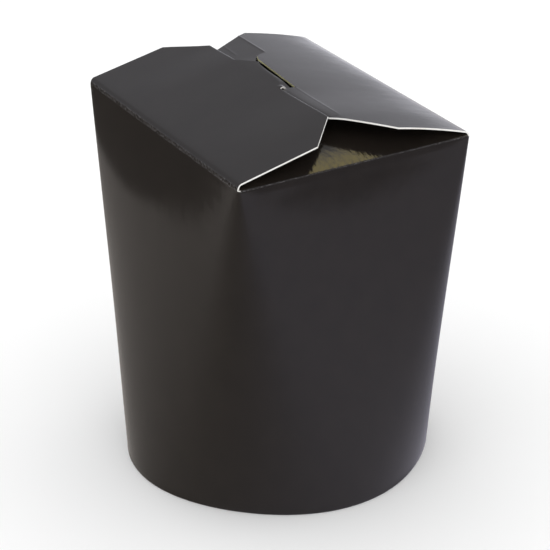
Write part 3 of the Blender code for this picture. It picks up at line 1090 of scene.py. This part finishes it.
CAMERA_AZIMUTH = radians(-29.54)
CAMERA_ELEVATION = radians(26.758)
CAMERA_ROLL = radians(-0.68)
CAMERA_DISTANCE = 610.2 * MM
CAMERA_LENS = 135.66
CAMERA_SENSOR = 36.0
CAMERA_CLIP = (0.01, 20.0)
CAMERA_TARGET = Vector((-0.26 * MM, 0.0, 54.28 * MM))


def make_camera():
    camera = bpy.data.objects.new("camera", bpy.data.cameras.new("camera"))
    bpy.context.scene.collection.objects.link(camera)
    back = Vector((sin(CAMERA_AZIMUTH) * cos(CAMERA_ELEVATION),
                   -cos(CAMERA_AZIMUTH) * cos(CAMERA_ELEVATION), sin(CAMERA_ELEVATION)))
    right = Vector((cos(CAMERA_AZIMUTH), sin(CAMERA_AZIMUTH), 0.0))
    right = right @ Matrix.Rotation(-CAMERA_ROLL, 3, back)
    up = back.cross(right)
    turned = Matrix((right, up, back)).transposed()
    camera.matrix_world = Matrix.Translation(CAMERA_TARGET + back * CAMERA_DISTANCE) @ turned.to_4x4()
    camera.data.lens = CAMERA_LENS
    camera.data.sensor_width = CAMERA_SENSOR
    camera.data.clip_start, camera.data.clip_end = CAMERA_CLIP
    bpy.context.scene.camera = camera


# The studio as the board's gloss sees it: a pale sheet on the table, the darker room past its edges,
# a bright window low behind the box and a warm lamp high to the right. The sheet, the darker room,
# the window's light on the table and their warm and cool tints are painted light: a glow of the floor
# that only glossy rays see. A spread gives how nearly a ray has to point a way, as the cosine of the
# angle off it, for a glow to start and to be full.
SHEET_LEFT_X = -228.0 * MM
SHEET_FRONT_Y = -283.0 * MM
SHEET_BACK_Y = 276.0 * MM
SHEET_EDGE_BLUR = 11.0 * MM
SHEET_GLOW = 0.29
TOWARD_FRONT_GLOW = (0.208, -0.978, 0.0)
FRONT_GLOW = 0.24
FRONT_SPREAD = (0.35, 1.0)
FRONT_FALL = 2.0
TOWARD_LEFT_GLOW = (-0.74, 0.67, 0.0)
LEFT_GLOW = 0.08
LEFT_SPREAD = (0.3, 0.95)
ROOM_GLOW_BACK = 0.10
ROOM_GLOW_FRONT = 0.23
ROOM_SPREAD = (-0.5, 0.6)
WALL_GLOW = 0.46
TOWARD_WINDOW = (0.469, 0.883, 0.0)
WINDOW_GLOW = 1.5
WINDOW_SPREAD = (0.955, 1.0)
WINDOW_RISE = (-0.03, 0.07)
WINDOW_FALL = 0.18
WINDOW_FALL_RISE = (0.1, 0.5)
WINDOW_ON_TABLE = 0.35
WINDOW_TABLE_SPREAD = (0.9, 1.0)
WINDOW_TABLE_RUN = (600.0 * MM, 1600.0 * MM)
TOWARD_LAMP = (0.477, 0.257, 0.840)
LAMP_GLOW = 1.8
LAMP_SPREAD = (0.983, 1.0)
TOWARD_WARM_TABLE = (-0.75, 0.66, 0.0)
WARM_TABLE_SPREAD = (-0.6, 0.6)
COOL_TABLE_LIGHT = (0.97, 0.945, 1.11)
WARM_TABLE_LIGHT = (1.06, 0.985, 0.93)
WALL_TINT = (0.97, 0.975, 1.06)
LAMP_TINT = (1.2, 1.0, 0.43)

FLOOR_SIZE = 6.0
FLOOR_COLOUR = (0.93, 0.93, 0.93)
FLOOR_ROUGHNESS = 0.95
FLOOR_SHINE = 0.2
ROOM_LIGHT = 1.2


def lit_by(tree, way, toward, spread, low, high):
    """A glow that grows from low to high as a way turns toward its source."""
    return ramp_node(tree, dot_node(tree, way, toward), *spread, low, high)


def seen_by_gloss(tree, plain, seen, output):
    """Show glossy rays the seen shader, and everything else the plain one."""
    path = add_node(tree, 'ShaderNodeLightPath')
    mix = add_node(tree, 'ShaderNodeMixShader', (path.outputs['Is Glossy Ray'], plain.outputs[0],
                                                 seen.outputs[0]))
    tree.links.new(mix.outputs[0], tree.nodes[output].inputs["Surface"])


def sheet_mask(tree, place):
    """1 on the pale sheet and 0 past its edges."""
    across = add_node(tree, 'ShaderNodeSeparateXYZ', (place,))
    blur = SHEET_EDGE_BLUR
    left = ramp_node(tree, across.outputs['X'], SHEET_LEFT_X - blur, SHEET_LEFT_X + blur, 0.0, 1.0)
    front = ramp_node(tree, across.outputs['Y'],
                      SHEET_FRONT_Y - 2 * blur, SHEET_FRONT_Y + 2 * blur, 0.0, 1.0)
    back = ramp_node(tree, across.outputs['Y'], SHEET_BACK_Y - 2 * blur, SHEET_BACK_Y + blur, 1.0, 0.0)
    return math_node(tree, 'MULTIPLY', math_node(tree, 'MULTIPLY', left, front), back)


def sheet_glow(tree, way):
    """The sheet's painted glow, brighter to the front and to the left."""
    to_front = dot_node(tree, way, TOWARD_FRONT_GLOW)
    front = math_node(tree, 'POWER', ramp_line(tree, to_front, *FRONT_SPREAD), FRONT_FALL)
    glow = math_node(tree, 'MULTIPLY_ADD', front, FRONT_GLOW, SHEET_GLOW)
    left = lit_by(tree, way, TOWARD_LEFT_GLOW, LEFT_SPREAD, 0.0, LEFT_GLOW)
    return math_node(tree, 'ADD', glow, left)


def room_glow(tree, place, way):
    """Painted glow of the table past the sheet, brighter to the front and under the window."""
    room = lit_by(tree, way, TOWARD_FRONT_GLOW, ROOM_SPREAD, ROOM_GLOW_BACK, ROOM_GLOW_FRONT)
    distance = add_node(tree, 'ShaderNodeVectorMath', (place,), operation='LENGTH').outputs['Value']
    level = ramp_node(tree, distance, *WINDOW_TABLE_RUN, WINDOW_ON_TABLE, WINDOW_GLOW)
    window = lit_by(tree, way, TOWARD_WINDOW, WINDOW_TABLE_SPREAD, 0.0, 1.0)
    return math_node(tree, 'ADD', room, math_node(tree, 'MULTIPLY', window, level))


def make_floor():
    bpy.ops.mesh.primitive_plane_add(size=FLOOR_SIZE, location=(0.0, 0.0, 0.0))
    floor = bpy.context.active_object
    floor.name = "floor"
    material, tree, shader = start_material("pale_floor")
    shader.inputs["Base Color"].default_value = (*FLOOR_COLOUR, 1.0)
    shader.inputs["Roughness"].default_value = FLOOR_ROUGHNESS
    shader.inputs["Specular IOR Level"].default_value = FLOOR_SHINE
    place = add_node(tree, 'ShaderNodeTexCoord').outputs['Object']
    way = add_node(tree, 'ShaderNodeVectorMath', (place,), operation='NORMALIZE').outputs[0]
    sheet = sheet_glow(tree, way)
    room = room_glow(tree, place, way)
    over_room = math_node(tree, 'SUBTRACT', sheet, room)
    level = math_node(tree, 'MULTIPLY_ADD', over_room, sheet_mask(tree, place), room)
    warmth = lit_by(tree, way, TOWARD_WARM_TABLE, WARM_TABLE_SPREAD, 0.0, 1.0)
    # Painted light: the floor glows for glossy rays only, tinted warm to the left and cool to the right.
    seen = add_node(tree, 'ShaderNodeEmission', (tinted(tree, warmth, COOL_TABLE_LIGHT, WARM_TABLE_LIGHT), level))
    seen_by_gloss(tree, shader, seen, "Material Output")
    floor.data.materials.append(material)


def make_world():
    world = bpy.data.worlds.new("studio")
    bpy.context.scene.world = world
    world.use_nodes = True
    tree = world.node_tree
    way = add_node(tree, 'ShaderNodeTexCoord').outputs['Generated']
    height = add_node(tree, 'ShaderNodeSeparateXYZ', (way,)).outputs['Z']
    low = math_node(tree, 'ADD', ramp_node(tree, height, *WINDOW_RISE, WINDOW_GLOW, 0.0),
                    ramp_node(tree, height, *WINDOW_FALL_RISE, WINDOW_FALL, 0.0))
    beside = add_node(tree, 'ShaderNodeVectorMath', (way, (1.0, 1.0, 0.0)), operation='MULTIPLY').outputs[0]
    beside = add_node(tree, 'ShaderNodeVectorMath', (beside,), operation='NORMALIZE').outputs[0]
    across = lit_by(tree, beside, TOWARD_WINDOW, WINDOW_SPREAD, 0.0, 1.0)
    window = math_node(tree, 'MULTIPLY', low, across)
    lamp = lit_by(tree, way, TOWARD_LAMP, LAMP_SPREAD, 0.0, 1.0)
    level = math_node(tree, 'MULTIPLY_ADD', lamp, LAMP_GLOW, WALL_GLOW)
    level = math_node(tree, 'ADD', window, level)
    seen = add_node(tree, 'ShaderNodeBackground', (tinted(tree, lamp, WALL_TINT, LAMP_TINT), level))
    plain = tree.nodes["Background"]
    plain.inputs["Color"].default_value = (1.0, 1.0, 1.0, 1.0)
    plain.inputs["Strength"].default_value = ROOM_LIGHT
    seen_by_gloss(tree, plain, seen, "World Output")


def make_studio():
    make_world()
    make_floor()
    bpy.context.scene.view_settings.view_transform = 'Standard'


def main():
    grain = build_board_grain()
    make_folded_board(grain)
    make_base_disc(grain)
    make_camera()
    make_studio()


main()
